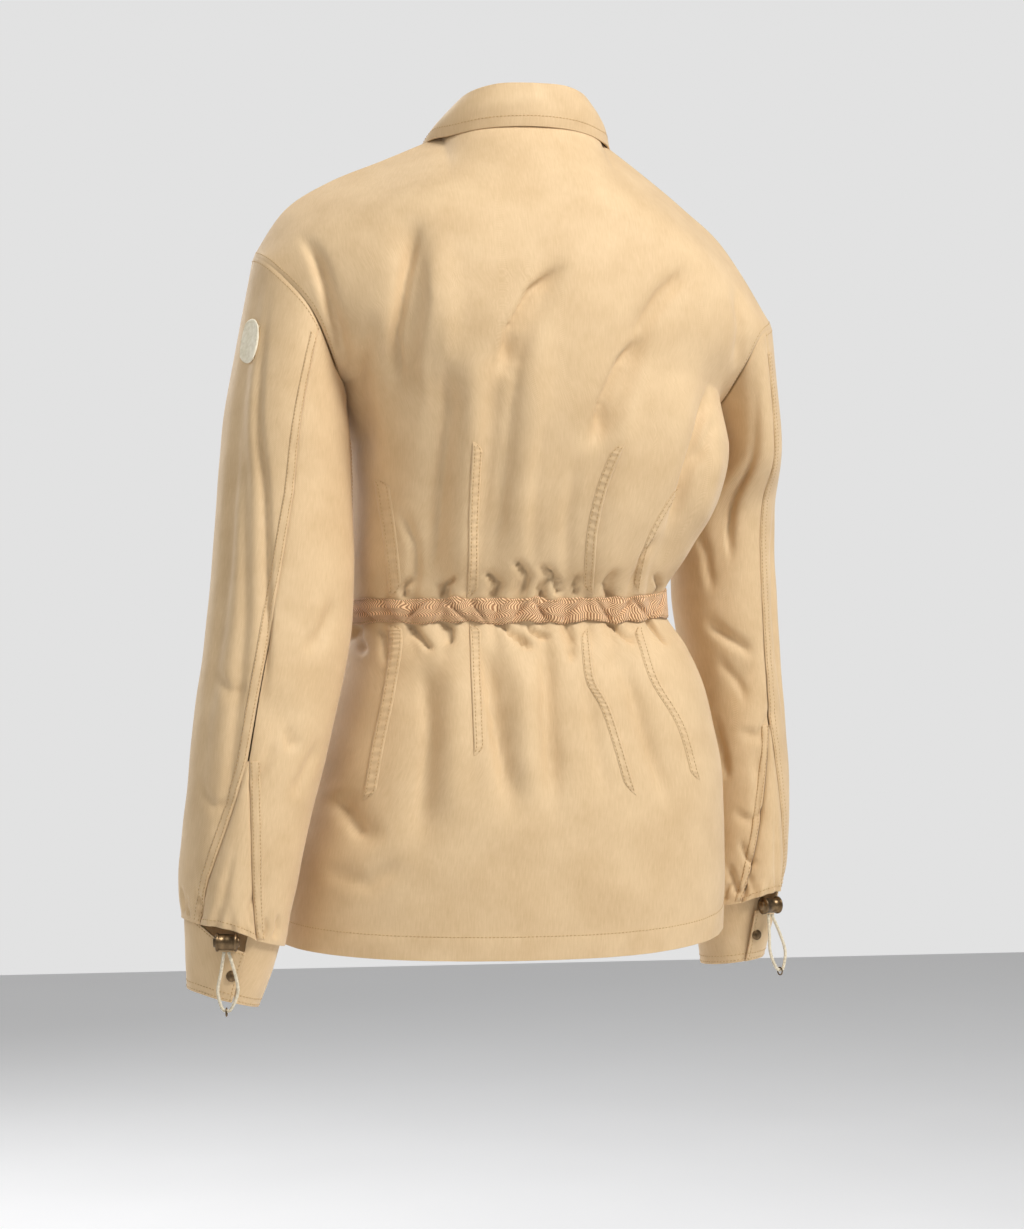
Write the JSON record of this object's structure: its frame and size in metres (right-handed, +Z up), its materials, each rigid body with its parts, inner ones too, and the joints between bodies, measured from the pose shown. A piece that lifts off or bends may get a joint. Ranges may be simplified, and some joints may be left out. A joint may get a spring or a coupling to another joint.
{
  "type": "field jacket, worn form",
  "caption": "Waisted cotton field jacket in the hollow form of a standing wearer, with shirt collar, drop shoulders, taped waist and gusseted sleeves with cuffs and drawcords.",
  "frame": {"origin": "base of the neck, midway between the shoulders, where the wearer's shoulders hold the jacket up", "axes": "+Z up, -Y the way the wearer faces, +X to the wearer's left"},
  "size_m": [0.5531, 0.2644, 0.7663],
  "materials": {
    "cloth": "tan cotton gabardine with a soft sheen",
    "tape": "brown herringbone cotton tape",
    "cord": "cream braided cord",
    "metal": "dark bronze, satin",
    "button": "brown resin, satin",
    "patch": "cream felt"
  },
  "bodies": {
    "root": {"back": "cloth", "front_left": "cloth", "front_right": "cloth", "collar_stand": "cloth", "collar_fall": "cloth", "sleeve_left_upper": "cloth", "sleeve_left_under": "cloth", "sleeve_right_upper": "cloth", "sleeve_right_under": "cloth", "gusset_left": "cloth", "gusset_right": "cloth", "cuff_left": "cloth", "cuff_right": "cloth", "waist_tape_back": "tape", "waist_tape_left": "tape", "waist_tape_right": "tape", "cuff_lock_left": "metal", "cuff_lock_right": "metal", "cuff_cord_left": "cord", "cuff_cord_right": "cord", "cuff_ring_left": "metal", "cuff_ring_right": "metal", "cuff_snap_left": "metal", "cuff_snap_right": "metal", "button_1": "button", "button_2": "button", "button_3": "button", "button_4": "button", "button_5": "button", "button_6": "button", "sleeve_patch": "patch"}
  },
  "joints": []
}
